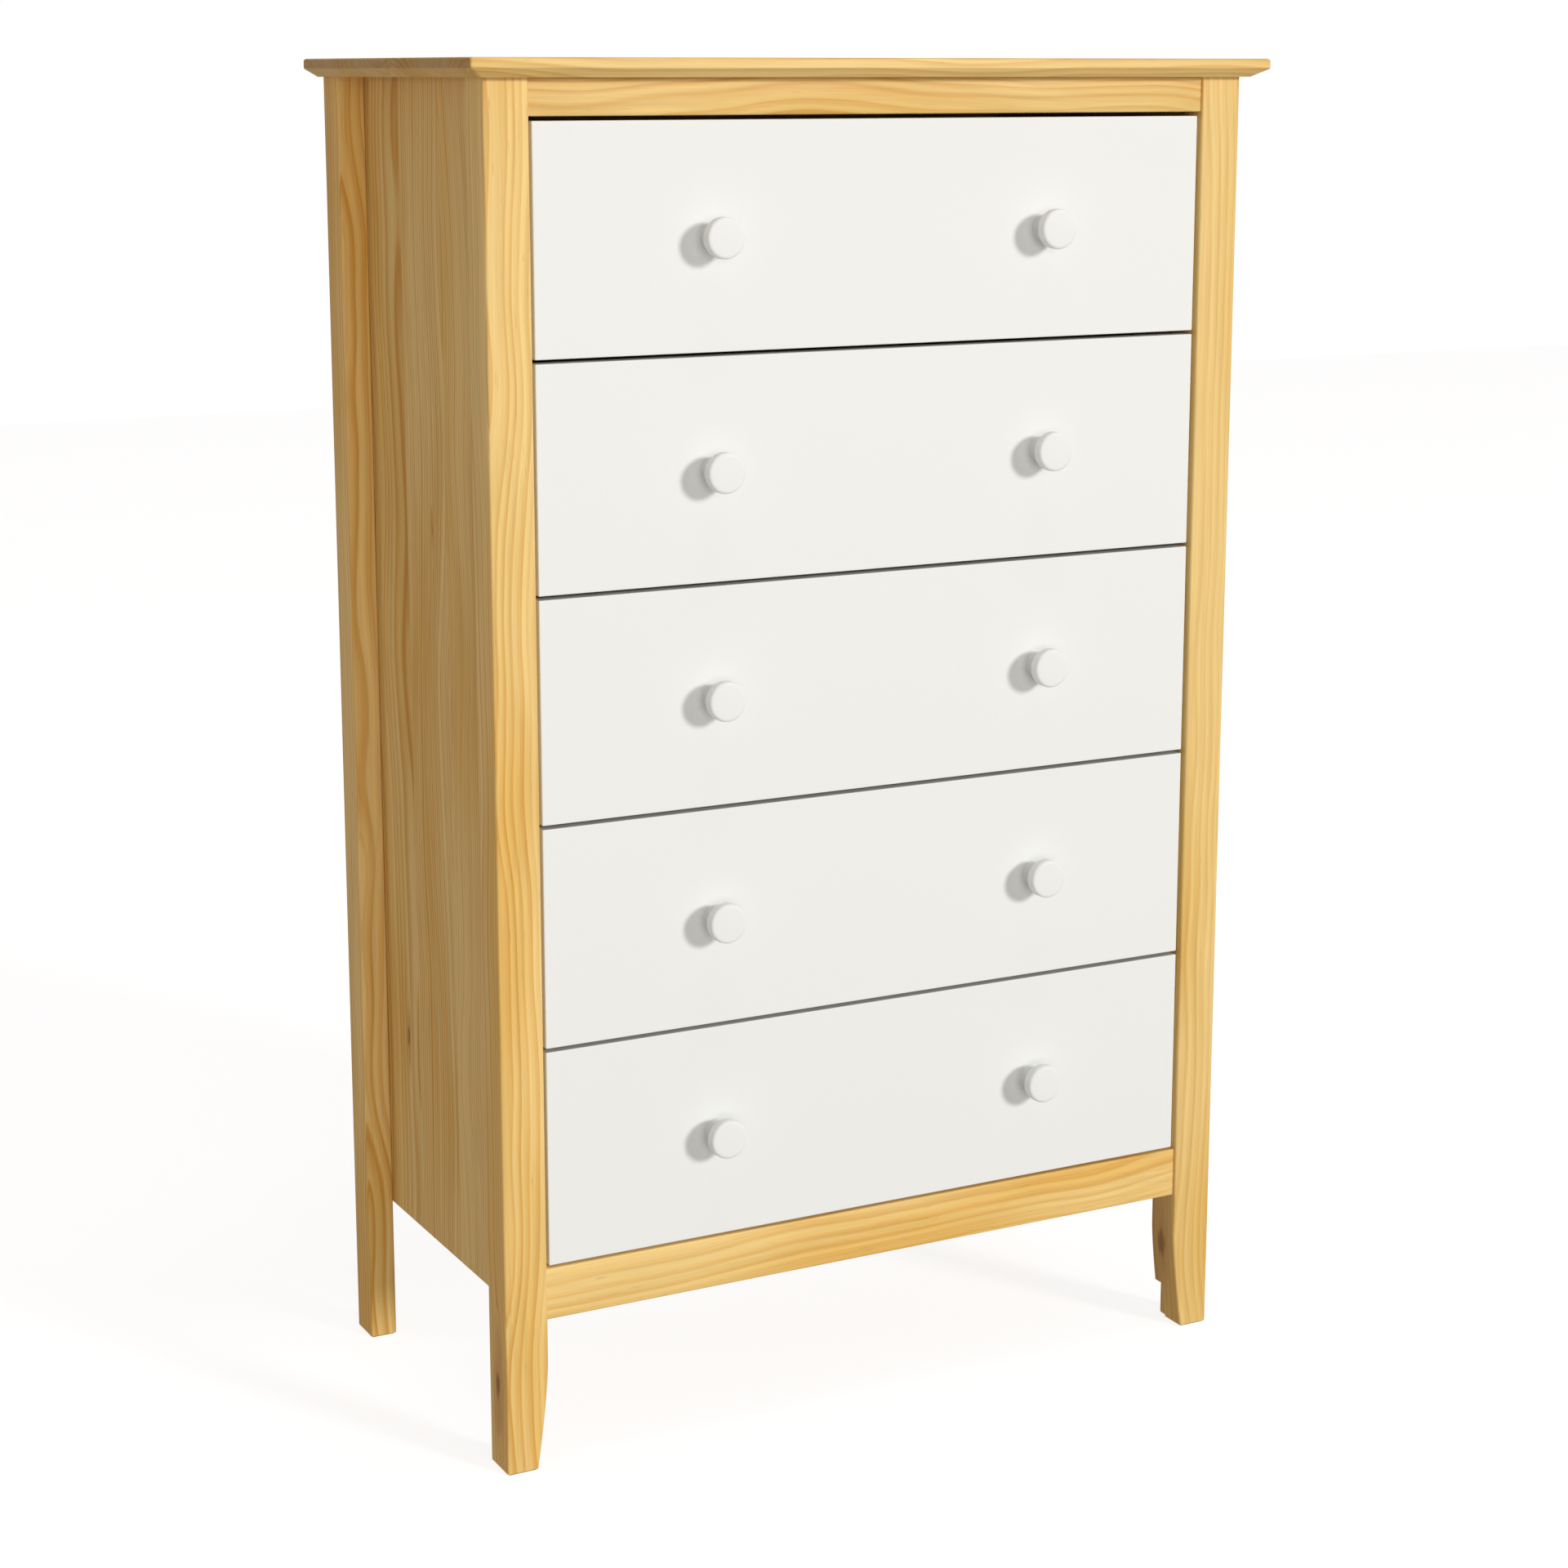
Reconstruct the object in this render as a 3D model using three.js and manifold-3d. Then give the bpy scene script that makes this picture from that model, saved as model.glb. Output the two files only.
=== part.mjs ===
// Tall chest of five drawers: a clear-finished pine case on four legs, flush white drawer fronts with
// round white knobs, and drawer boxes that hang on wooden runners in grooves.
// Millimetres. +X is the viewer's right, +Y runs to the back, +Z is up. The origin is on the floor, at the
// middle of the whole object's box. Drawers are numbered from the top.

import * as THREE from "three";
import { mergeVertices } from "three/addons/utils/BufferGeometryUtils.js";
import Module from "manifold-3d";

const wasm = await Module();
wasm.setup();

// ---- Driving dimensions -------------------------------------------------------------------------------

const HEIGHT = 1180; // floor to the upper face of the top
const BODY_WIDTH = 718; // over the legs
const BODY_DEPTH = 367; // over the legs

const TOP = { thickness: 15.5, sideOverhang: 18, frontOverhang: 21, bevelRise: 7, bevelRun: 11.5 };
const FRONT_LEG = { width: 39, depth: 37, footWidth: 28.5, taperHeight: 95, taperCurve: 1.4, taperSteps: 8 };
const FOOT_NOTCH = { wall: 26, depth: 12, height: 36 }; // cut out of a front foot's inner rear corner
const REAR_LEG = { width: 25, depth: 36 };
const EDGE_RADIUS = 2; // eased edges of the legs and the top
const FOOT_CHAMFER = 1.5;

const SIDE_PANEL = { thickness: 14, bottom: 130.5 };
const BACK_PANEL = { thickness: 4, bottom: 132.5 };
const FRONT_RAIL = { recess: 3, thickness: 18, topHeight: 30, bottomHeight: 45.5, bottom: 132.5, ease: 1.5 };
const REAR_RAIL = { thickness: 18, topHeight: 40, bottomHeight: 45.5 };

const DRAWERS = 5;
const FRONT = { width: 633.5, height: 187.5, thickness: 18, gap: 3.25, ease: 1 };
const FIRST_FRONT_TOP = 1131;
const BOX_SIDE = { thickness: 15, height: 150, rise: 12, clearance: 1.5, length: 312.5 };
const BOX_BACK_THICKNESS = 15;
const BOX_BOTTOM = { thickness: 4, rise: 22, sideLap: 5.5, frontLap: 6.5, play: 0.25, grooveEnd: 0.5 };
const RUNNER = { height: 15, thickness: 8.5, rise: 80, start: 4.5, length: 316 };
const RUNNER_GROOVE = { depth: 7.5, playAbove: 0.25, playBelow: 1.25 };

const KNOB = { radius: 17, projection: 27, baseRadius: 11.4, neckRadius: 8.6, spacing: 318, segments: 28 };
const KNOB_SCREW = { holeRadius: 2.5, pilotRadius: 2, pilotDepth: 15, segments: 16 };

// ---- Places that follow from them -----------------------------------------------------------------------

const boxDepth = BODY_DEPTH + KNOB.projection - FRONT_RAIL.recess; // from the knobs' faces to the back
const rearY = boxDepth / 2;
const frontY = rearY - BODY_DEPTH; // the front faces of the legs
const bodyX = BODY_WIDTH / 2;
const caseTop = HEIGHT - TOP.thickness;
const openingX = bodyX - FRONT_LEG.width; // half the clear width between the legs
const panelX = openingX + SIDE_PANEL.thickness; // the outer face of a side panel
const frontFaceY = frontY + FRONT_RAIL.recess; // the faces of the drawer fronts and the front rails
const boxStartY = frontFaceY + FRONT.thickness; // the rear face of a drawer front
const boxOuterX = openingX - BOX_SIDE.clearance;
const boxInnerX = boxOuterX - BOX_SIDE.thickness;
const backStartY = rearY - BACK_PANEL.thickness;

// ---- Materials ------------------------------------------------------------------------------------------

const finish = (color, roughness) => new THREE.MeshStandardMaterial({ color, roughness, metalness: 0 });
const pine = finish(0xe3b878, 0.42);
const palePine = finish(0xe6cfa4, 0.6);
const beech = finish(0xd9b98c, 0.5);
const plywood = finish(0xdcc39a, 0.65);
const hardboard = finish(0xb98d5c, 0.7);
const whitePaint = finish(0xf1f1ec, 0.35);

// ---- Shapes -----------------------------------------------------------------------------------------------

// A plain board between two corners.
function board([x0, x1], [y0, y1], [z0, z1]) {
  const geometry = new THREE.BoxGeometry(x1 - x0, y1 - y0, z1 - z0);
  return geometry.translate((x0 + x1) / 2, (y0 + y1) / 2, (z0 + z1) / 2);
}

// A rectangle about the origin with round corners.
function roundedRectangle(width, height, radius) {
  const x = width / 2 - radius;
  const y = height / 2 - radius;
  const quarter = Math.PI / 2;
  const shape = new THREE.Shape();
  shape.absarc(x, y, radius, 0, quarter);
  shape.absarc(-x, y, radius, quarter, 2 * quarter);
  shape.absarc(-x, -y, radius, 2 * quarter, 3 * quarter);
  shape.absarc(x, -y, radius, 3 * quarter, 4 * quarter);
  return shape;
}

// A solid lofted up +Z through rings of one rounded rectangle. Each ring gives its height, z, and how far
// each side is drawn in there: left and right along X, front and rear along Y.
function loft(width, depth, radius, rings) {
  const steps = rings.length - 1;
  const outline = roundedRectangle(width, depth, radius);
  const options = { depth: steps, steps, bevelEnabled: false, curveSegments: 3 };
  const geometry = new THREE.ExtrudeGeometry(outline, options);
  const place = geometry.getAttribute("position");
  for (let i = 0; i < place.count; i++) {
    const { z, left = 0, right = 0, front = 0, rear = 0 } = rings[Math.round(place.getZ(i))];
    const x = place.getX(i);
    const y = place.getY(i);
    place.setXYZ(i, x + (x < 0 ? left : -right), y + (y < 0 ? front : -rear), z);
  }
  return geometry;
}

// Rings that ease the last edge of a loft: in by radius over radius, in a quarter circle.
function easedEnd(z, radius, sides) {
  const steps = 3;
  return Array.from({ length: steps + 1 }, (_, i) => {
    const turn = ((i / steps) * Math.PI) / 2;
    const inset = radius * (1 - Math.cos(turn));
    const ring = { z: z - radius + radius * Math.sin(turn) };
    for (const side of sides) ring[side] = inset;
    return ring;
  });
}

function toSolid(geometry) {
  const bare = new THREE.BufferGeometry().setAttribute("position", geometry.getAttribute("position").clone());
  if (geometry.index) bare.setIndex(geometry.index.clone());
  const merged = mergeVertices(bare, 1e-4);
  const vertProperties = merged.getAttribute("position").array;
  const triVerts = new Uint32Array(merged.index.array);
  return new wasm.Manifold(new wasm.Mesh({ numProp: 3, vertProperties, triVerts }));
}

// The geometry with each tool cut out of it.
function cut(geometry, ...tools) {
  const solid = tools.reduce((left, tool) => left.subtract(toSolid(tool)), toSolid(geometry));
  const mesh = solid.getMesh();
  const result = new THREE.BufferGeometry();
  result.setAttribute("position", new THREE.BufferAttribute(new Float32Array(mesh.vertProperties), 3));
  result.setIndex(new THREE.BufferAttribute(new Uint32Array(mesh.triVerts), 1));
  result.computeVertexNormals();
  return result;
}

const chest = new THREE.Group();

function add(name, geometry, material) {
  const mesh = new THREE.Mesh(geometry, material);
  mesh.name = name;
  chest.add(mesh);
  return mesh;
}

// ---- Case -------------------------------------------------------------------------------------------------

// The top: eased all round its upper edge, with a wide bevel under the front and side edges.
function topPanel() {
  const width = BODY_WIDTH + 2 * TOP.sideOverhang;
  const depth = BODY_DEPTH + TOP.frontOverhang;
  const run = TOP.bevelRun;
  const rings = [
    { z: 0, left: run, right: run, front: run },
    { z: TOP.bevelRise },
    ...easedEnd(TOP.thickness, EDGE_RADIUS, ["left", "right", "front", "rear"]),
  ];
  add("top_panel", loft(width, depth, EDGE_RADIUS, rings), pine).position.set(0, rearY - depth / 2, caseTop);
}

// A leg from the floor to the top, with a chamfered foot. Its inner side curves in by taper at the floor.
function legRings(inner, taper, taperHeight, curve = 1, steps = 1) {
  const chamfer = FOOT_CHAMFER;
  const insetAt = (z) => taper * ((taperHeight - z) / taperHeight) ** curve;
  const sole = { z: 0, left: chamfer, right: chamfer, front: chamfer, rear: chamfer };
  sole[inner] += taper;
  const ankle = Array.from({ length: steps + 1 }, (_, i) => {
    const z = chamfer + (i / steps) * (taperHeight - chamfer);
    return { z, [inner]: insetAt(z) };
  });
  return [sole, ...ankle, { z: caseTop }];
}

function frontLeg(name, side) {
  const { width, depth, footWidth, taperHeight, taperCurve, taperSteps } = FRONT_LEG;
  const rings = legRings(side < 0 ? "right" : "left", width - footWidth, taperHeight, taperCurve, taperSteps);
  const x = side * (bodyX - width / 2);
  const y = frontY + depth / 2;
  const leg = loft(width, depth, EDGE_RADIUS, rings).translate(x, y, 0);
  const past = 5; // how far the cutter runs out past the leg
  const notchX = [side * (openingX - past), side * (bodyX - FOOT_NOTCH.wall)];
  const notchY = [frontY + depth - FOOT_NOTCH.depth, frontY + depth + past];
  const notch = board(notchX.sort((a, b) => a - b), notchY, [-past, FOOT_NOTCH.height]);
  add(name, cut(leg, notch), pine);
}

function rearLeg(name, side) {
  const { width, depth } = REAR_LEG;
  const leg = loft(width, depth, EDGE_RADIUS, legRings("left", 0, FRONT_LEG.taperHeight));
  add(name, leg, pine).position.set(side * (bodyX - width / 2), rearY - depth / 2, 0);
}

function sidePanel(name, side) {
  const x = [side * openingX, side * panelX].sort((a, b) => a - b);
  add(name, board(x, [frontY + FRONT_LEG.depth, backStartY], [SIDE_PANEL.bottom, caseTop]), pine);
}

// A rail across the front, between the legs, with the long edges of its face eased.
function frontRail(name, bottom, height) {
  const { thickness, ease, recess } = FRONT_RAIL;
  const sides = ["front", "rear"];
  const rail = loft(2 * openingX, height, 0.01, [{ z: 0 }, ...easedEnd(thickness, ease, sides)]);
  rail.rotateX(Math.PI / 2); // the ring's depth becomes height, and the loft runs towards the front
  add(name, rail, pine).position.set(0, frontY + recess + thickness, bottom + height / 2);
}

function rearRail(name, bottom, height) {
  const y = [backStartY - REAR_RAIL.thickness, backStartY];
  add(name, board([-openingX, openingX], y, [bottom, bottom + height]), palePine);
}

topPanel();
for (const [word, side] of [["left", -1], ["right", 1]]) {
  frontLeg(`front_leg_${word}`, side);
  rearLeg(`rear_leg_${word}`, side);
  sidePanel(`side_panel_${word}`, side);
}
frontRail("top_front_rail", caseTop - FRONT_RAIL.topHeight, FRONT_RAIL.topHeight);
frontRail("bottom_front_rail", FRONT_RAIL.bottom, FRONT_RAIL.bottomHeight);
rearRail("top_rear_rail", caseTop - REAR_RAIL.topHeight, REAR_RAIL.topHeight);
rearRail("bottom_rear_rail", BACK_PANEL.bottom, REAR_RAIL.bottomHeight);
add("back_panel", board([-panelX, panelX], [backStartY, rearY], [BACK_PANEL.bottom, caseTop]), hardboard);

// ---- Drawers ------------------------------------------------------------------------------------------------

// A round peg along Y, as a cutter for a hole.
function pegAlongY(radius, x, [y0, y1], z) {
  const peg = new THREE.CylinderGeometry(radius, radius, y1 - y0, KNOB_SCREW.segments);
  return peg.translate(x, (y0 + y1) / 2, z);
}

// A drawer front: its face eased all round, a groove for the drawer's bottom, and a screw hole for each knob.
function drawerFront(name, bottom) {
  const { width, height, thickness, ease } = FRONT;
  const rings = [{ z: 0 }, ...easedEnd(thickness, ease, ["left", "right", "front", "rear"])];
  const slab = loft(width, height, ease, rings).rotateX(Math.PI / 2);
  slab.translate(0, boxStartY, bottom + height / 2);
  const past = 2; // how far a cutter runs out past the face that it starts from
  const play = BOX_BOTTOM.play;
  const grooveX = boxInnerX + BOX_BOTTOM.sideLap + BOX_BOTTOM.grooveEnd;
  const grooveY = [boxStartY - BOX_BOTTOM.frontLap - BOX_BOTTOM.grooveEnd, boxStartY + past];
  const floor = bottom + BOX_BOTTOM.rise;
  const grooveZ = [floor - play, floor + BOX_BOTTOM.thickness + play];
  const groove = board([-grooveX, grooveX], grooveY, grooveZ);
  const holeY = [frontFaceY - past, boxStartY + past];
  const holes = [-1, 1].map((side) =>
    pegAlongY(KNOB_SCREW.holeRadius, (side * KNOB.spacing) / 2, holeY, bottom + height / 2));
  add(name, cut(slab, groove, ...holes), whitePaint);
}

// A drawer side, with a through groove outside for its runner and one inside for the drawer's bottom.
function drawerSide(name, side, bottom) {
  const span = (a, b) => [side * a, side * b].sort((p, q) => p - q);
  const y = [boxStartY, boxStartY + BOX_SIDE.length];
  const past = 2;
  const through = [y[0] - past, y[1] + past];
  const low = bottom + BOX_SIDE.rise;
  const plank = board(span(boxInnerX, boxOuterX), y, [low, low + BOX_SIDE.height]);
  const runnerLow = bottom + RUNNER.rise;
  const runnerZ = [runnerLow - RUNNER_GROOVE.playBelow, runnerLow + RUNNER.height + RUNNER_GROOVE.playAbove];
  const runnerGroove = board(span(boxOuterX - RUNNER_GROOVE.depth, boxOuterX + past), through, runnerZ);
  const floor = bottom + BOX_BOTTOM.rise;
  const floorZ = [floor - BOX_BOTTOM.play, floor + BOX_BOTTOM.thickness + BOX_BOTTOM.play];
  const lap = BOX_BOTTOM.sideLap + BOX_BOTTOM.grooveEnd;
  const floorGroove = board(span(boxInnerX - past, boxInnerX + lap), through, floorZ);
  add(name, cut(plank, runnerGroove, floorGroove), palePine);
}

// The drawer's back stands on its bottom, which slides in under it.
function drawerBack(name, bottom) {
  const end = boxStartY + BOX_SIDE.length;
  const low = bottom + BOX_BOTTOM.rise + BOX_BOTTOM.thickness + BOX_BOTTOM.play;
  const high = bottom + BOX_SIDE.rise + BOX_SIDE.height;
  add(name, board([-boxInnerX, boxInnerX], [end - BOX_BACK_THICKNESS, end], [low, high]), palePine);
}

function drawerBottom(name, bottom) {
  const x = boxInnerX + BOX_BOTTOM.sideLap;
  const low = bottom + BOX_BOTTOM.rise;
  const y = [boxStartY - BOX_BOTTOM.frontLap, boxStartY + BOX_SIDE.length];
  add(name, board([-x, x], y, [low, low + BOX_BOTTOM.thickness]), plywood);
}

// Half the section of a knob, from the screw's pilot hole out round the base, the neck and the head.
function knobProfile() {
  const { radius, projection, baseRadius, neckRadius } = KNOB;
  const { pilotRadius, pilotDepth } = KNOB_SCREW;
  const neckHeight = 8.5;
  const headBottom = 18.5; // where the head reaches its full radius
  const rimStart = 24.5; // where the face's edge starts to turn
  const faceRadius = radius - 3;
  const path = new THREE.Path();
  path.moveTo(0, pilotDepth);
  path.lineTo(pilotRadius, pilotDepth);
  path.lineTo(pilotRadius, 0);
  path.lineTo(baseRadius, 0);
  path.bezierCurveTo(baseRadius - 0.4, 3.5, neckRadius, 5, neckRadius, neckHeight);
  path.bezierCurveTo(neckRadius, 13, radius - 0.5, 14.5, radius, headBottom);
  path.lineTo(radius, rimStart);
  path.quadraticCurveTo(radius, projection - 0.3, faceRadius, projection);
  path.lineTo(0, projection);
  return path.getPoints(6);
}

// The lathe turns about Y. Half a turn about X points the knob's face to the front.
const knobShape = new THREE.LatheGeometry(knobProfile(), KNOB.segments).rotateX(Math.PI);

function knob(name, x, z) {
  add(name, knobShape, whitePaint).position.set(x, frontFaceY, z);
}

// A runner on the case's inside, from just behind the drawer front.
function runner(name, side, bottom) {
  const x = [side * (openingX - RUNNER.thickness), side * openingX].sort((a, b) => a - b);
  const start = boxStartY + RUNNER.start;
  const low = bottom + RUNNER.rise;
  add(name, board(x, [start, start + RUNNER.length], [low, low + RUNNER.height]), beech);
}

for (let number = 1; number <= DRAWERS; number++) {
  const bottom = FIRST_FRONT_TOP - FRONT.height - (number - 1) * (FRONT.height + FRONT.gap);
  drawerFront(`drawer_${number}_front`, bottom);
  drawerBack(`drawer_${number}_back`, bottom);
  drawerBottom(`drawer_${number}_bottom`, bottom);
  for (const [word, side] of [["left", -1], ["right", 1]]) {
    drawerSide(`drawer_${number}_side_${word}`, side, bottom);
    knob(`drawer_${number}_knob_${word}`, (side * KNOB.spacing) / 2, bottom + FRONT.height / 2);
    runner(`runner_${number}_${word}`, side, bottom);
  }
}

export default chest;
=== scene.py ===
import math

import bmesh
import bpy
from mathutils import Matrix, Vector


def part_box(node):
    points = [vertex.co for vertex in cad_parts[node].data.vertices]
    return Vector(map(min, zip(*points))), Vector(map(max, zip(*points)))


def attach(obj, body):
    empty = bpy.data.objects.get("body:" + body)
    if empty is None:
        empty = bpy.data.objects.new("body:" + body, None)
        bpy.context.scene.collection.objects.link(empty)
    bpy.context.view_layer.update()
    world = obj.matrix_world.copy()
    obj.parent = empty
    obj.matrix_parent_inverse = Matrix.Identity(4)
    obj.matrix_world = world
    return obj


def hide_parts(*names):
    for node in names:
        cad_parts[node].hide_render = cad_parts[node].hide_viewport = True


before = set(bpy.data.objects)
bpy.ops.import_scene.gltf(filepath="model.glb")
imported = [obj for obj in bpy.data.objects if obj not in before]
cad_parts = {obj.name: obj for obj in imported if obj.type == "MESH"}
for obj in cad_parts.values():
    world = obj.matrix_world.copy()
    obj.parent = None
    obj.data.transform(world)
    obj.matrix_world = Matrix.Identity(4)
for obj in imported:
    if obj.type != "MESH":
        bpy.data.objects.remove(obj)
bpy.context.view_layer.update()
scene = bpy.context.scene
print("frame loaded:", len(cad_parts), "nodes")

drawerNumbers = range(1, 6)  # counted from the top
sides = {"left": -1, "right": 1}
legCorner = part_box("front_leg_left")[0]  # the outer front corner of the front left leg, on the floor


cameraPlace = {
    "besideLeg": -0.9294,  # metres along X from the front left leg's outer corner
    "beforeLeg": -2.2718,  # and along Y
    "height": 1.1685,
    "turn": 27.72,  # degrees to the right of straight ahead
    "tilt": 11.29,  # degrees down
    "lens": 71.04,
    "shift": -0.06,
}

studio = {
    "aim": (0.0, -0.1, 0.62),
    # name: (degrees to the right of the front, degrees up, distance, width, watts, colour)
    "lights": {
        "keyLight": (27, 16, 24.0, 4.4, 3080, (1.0, 0.99, 0.98)),
        "frontFill": (-14, 2, 20.0, 11.0, 1310, (1.0, 0.985, 0.98)),
        "sideLight": (-118, 6, 10.0, 2.4, 97, (1.0, 0.905, 0.89)),
        "overhead": (10, 84, 6.0, 2.6, 36, (1.0, 1.0, 1.0)),
    },
    "skyLight": 0.33,  # what the room adds from all round
    "skyColour": (1.0, 0.932, 0.918, 1),
    "backdrop": 1.0,
    "floorColour": (0.36, 0.36, 0.358, 1),
    "floorGlow": 0.818,
    "floorSize": 16.0,
    "floorSpeckle": 40.0,
    "floorRoughness": (0.7, 0.85),
}


def addNode(tree, kind, links=None, **settings):
    node = tree.nodes.new(kind)
    for key, value in settings.items():
        setattr(node, key, value)
    for socket, value in (links or {}).items():
        target = node.inputs[socket]
        if isinstance(value, bpy.types.NodeSocket):
            tree.links.new(value, target)
        else:
            target.default_value = value
    return node


def outOf(tree, kind, links=None, **settings):
    # A new node's first output
    return addNode(tree, kind, links, **settings).outputs[0]


def aimedLight(name, turn, rise, distance, width, watts, colour):
    data = bpy.data.lights.new(name, "AREA")
    data.shape = "DISK"
    data.size = width
    data.energy = watts
    data.color = colour
    light = bpy.data.objects.new(name, data)
    turn, rise = math.radians(turn), math.radians(rise)
    out = Vector((math.sin(turn) * math.cos(rise), -math.cos(turn) * math.cos(rise), math.sin(rise)))
    light.location = Vector(studio["aim"]) + out * distance
    light.rotation_euler = out.to_track_quat("Z", "Y").to_euler()
    scene.collection.objects.link(light)


def setCamera():
    data = bpy.data.cameras.new("chestCamera")
    data.lens = cameraPlace["lens"]
    data.shift_y = cameraPlace["shift"]
    camera = bpy.data.objects.new("chestCamera", data)
    camera.location = (
        legCorner.x + cameraPlace["besideLeg"],
        legCorner.y + cameraPlace["beforeLeg"],
        cameraPlace["height"],
    )
    camera.rotation_euler = (
        math.radians(90 - cameraPlace["tilt"]), 0, math.radians(-cameraPlace["turn"]))
    scene.collection.objects.link(camera)
    scene.camera = camera


def setRoom():
    world = bpy.data.worlds.new("paleRoom")
    scene.world = world
    world.use_nodes = True
    tree = world.node_tree
    tree.nodes.clear()
    rays = addNode(tree, "ShaderNodeLightPath")
    seen = rays.outputs["Is Camera Ray"]
    strength = outOf(tree, "ShaderNodeMapRange", {0: seen, 3: studio["skyLight"], 4: studio["backdrop"]})
    links = {0: seen, 6: studio["skyColour"], 7: (1, 1, 1, 1)}
    tint = addNode(tree, "ShaderNodeMix", links, data_type="RGBA")
    sky = outOf(tree, "ShaderNodeBackground", {"Color": tint.outputs[2], "Strength": strength})
    addNode(tree, "ShaderNodeOutputWorld", {"Surface": sky})

    material = bpy.data.materials.new("paleFloor")
    material.use_nodes = True
    tree = material.node_tree
    place = addNode(tree, "ShaderNodeTexCoord").outputs["Object"]
    speckle = outOf(tree, "ShaderNodeTexNoise", {
        "Vector": place, "Scale": studio["floorSpeckle"], "Detail": 3.0})
    low, high = studio["floorRoughness"]
    rough = outOf(tree, "ShaderNodeMapRange", {0: speckle, 3: low, 4: high})
    shader = tree.nodes["Principled BSDF"]
    shader.inputs["Base Color"].default_value = studio["floorColour"]
    shader.inputs["Emission Color"].default_value = (1, 1, 1, 1)
    shader.inputs["Emission Strength"].default_value = studio["floorGlow"]
    tree.links.new(rough, shader.inputs["Roughness"])

    half = studio["floorSize"] / 2
    corners = [(-half, -half, 0), (half, -half, 0), (half, half, 0), (-half, half, 0)]
    mesh = bpy.data.meshes.new("studioFloor")
    mesh.from_pydata(corners, [], [(0, 1, 2, 3)])
    floor = bpy.data.objects.new("studioFloor", mesh)
    floor.data.materials.append(material)
    floor.visible_diffuse = False  # its glow doesn't light the chest from below
    floor.visible_glossy = False
    scene.collection.objects.link(floor)


setCamera()
setRoom()
for name, facts in studio["lights"].items():
    aimedLight(name, *facts)
scene.view_settings.view_transform = "Standard"
print("camera, light and floor set")


def calc(tree, operation, *values, clamp=False):
    return outOf(tree, "ShaderNodeMath", dict(enumerate(values)), operation=operation, use_clamp=clamp)


def vectorCalc(tree, operation, *values):
    node = addNode(tree, "ShaderNodeVectorMath", dict(enumerate(values)), operation=operation)
    return node.outputs["Value" if operation in ("LENGTH", "DOT_PRODUCT") else "Vector"]


def remap(tree, value, low, high, toLow=0.0, toHigh=1.0, smooth=False):
    node = addNode(tree, "ShaderNodeMapRange", {0: value, 1: low, 2: high, 3: toLow, 4: toHigh})
    if smooth:
        node.interpolation_type = "SMOOTHSTEP"
    return node.outputs[0]


def blendColours(tree, share, first, second, mode="MIX"):
    links = {0: share, 6: first, 7: second}
    return addNode(tree, "ShaderNodeMix", links, data_type="RGBA", blend_type=mode).outputs[2]


def noiseAt(tree, vector, stretch, detail=2.0, roughness=0.5, scale=1.0):
    place = vectorCalc(tree, "MULTIPLY", vector, stretch)
    return addNode(tree, "ShaderNodeTexNoise", {
        "Vector": place, "Scale": scale, "Detail": detail, "Roughness": roughness})


def scaled(tree, vector, amount):
    return outOf(tree, "ShaderNodeVectorMath", {0: vector, "Scale": amount}, operation="SCALE")


def noiseAlong(tree, value, pace, detail=1.0):
    # Noise in one dimension
    links = {"W": calc(tree, "MULTIPLY", value, pace), "Scale": 1.0, "Detail": detail}
    return outOf(tree, "ShaderNodeTexNoise", links, noise_dimensions="1D")


def startGroup(name, inputs, outputs):
    tree = bpy.data.node_groups.new(name, "ShaderNodeTree")
    for label, kind, value in inputs:
        socket = tree.interface.new_socket(label, in_out="INPUT", socket_type=kind)
        if value is not None:
            socket.default_value = value
    for label, kind in outputs:
        tree.interface.new_socket(label, in_out="OUTPUT", socket_type=kind)
    return tree, tree.nodes.new("NodeGroupInput").outputs


pineLook = {
    "early": (0.885, 0.638, 0.246, 1),  # the pale wood between the ring lines
    "late": (0.66, 0.315, 0.042, 1),  # the ring lines
    "warm": (0.80, 0.495, 0.118, 1),  # patches of older wood
    "knot": (0.25, 0.092, 0.027, 1),
    "halo": (0.52, 0.235, 0.065, 1),  # the stained wood round a knot
    "endShade": (0.64, 0.59, 0.68, 1),  # how much darker the end grain is
    "roughness": (0.42, 0.56),
    "lateRoughness": -0.05,  # what the ring lines add to it
    "endRoughness": 0.2,  # and the end grain
    "wearPace": (11.0, 11.0, 11.0),
    "specular": 0.2,
    "coat": 0.03,
    "coatRoughness": 0.35,
    "bump": 0.00025,
}

rawPineLook = dict(
    pineLook, early=(0.80, 0.62, 0.36, 1), late=(0.58, 0.34, 0.13, 1), warm=(0.72, 0.51, 0.25, 1),
    roughness=(0.60, 0.74), coat=0.0)

growth = {
    # (how fast across, across and along the grain, how far in shares of the wander)
    "sways": (((2.6, 2.6, 1.1), 1.0), ((4.0, 4.0, 3.7), 0.80)),
    "quiver": (30.0, 30.0, 7.0),
    "quiverWidth": 0.0030,
    "unevenPace": 42.0,  # how fast the rings' width changes outwards
    "uneven": 3.2,  # and by how many rings
    "rise": (0.12, 0.80),  # where in a ring its dark line starts and is full
    "fall": (0.86, 1.0),  # and where it ends
    "ringRange": (0.4, 1.0),  # from the faintest ring to the darkest
    "thinPace": 7.0,  # thin lines between the rings' own, to the ring
    "thinDepth": 0.30,
    "fibre": (620.0, 620.0, 10.0),
    "fibreShade": (0.925, 1.055),
    "ducts": (760.0, 760.0, 42.0),
    "ductShade": 0.80,
    "patches": (16.0, 16.0, 2.2),
    "streaks": (210.0, 210.0, 1.6),
    "streakShade": (0.94, 1.05),
    "toneShade": (0.86, 1.1),  # for tones of 0 and 1
}


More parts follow.
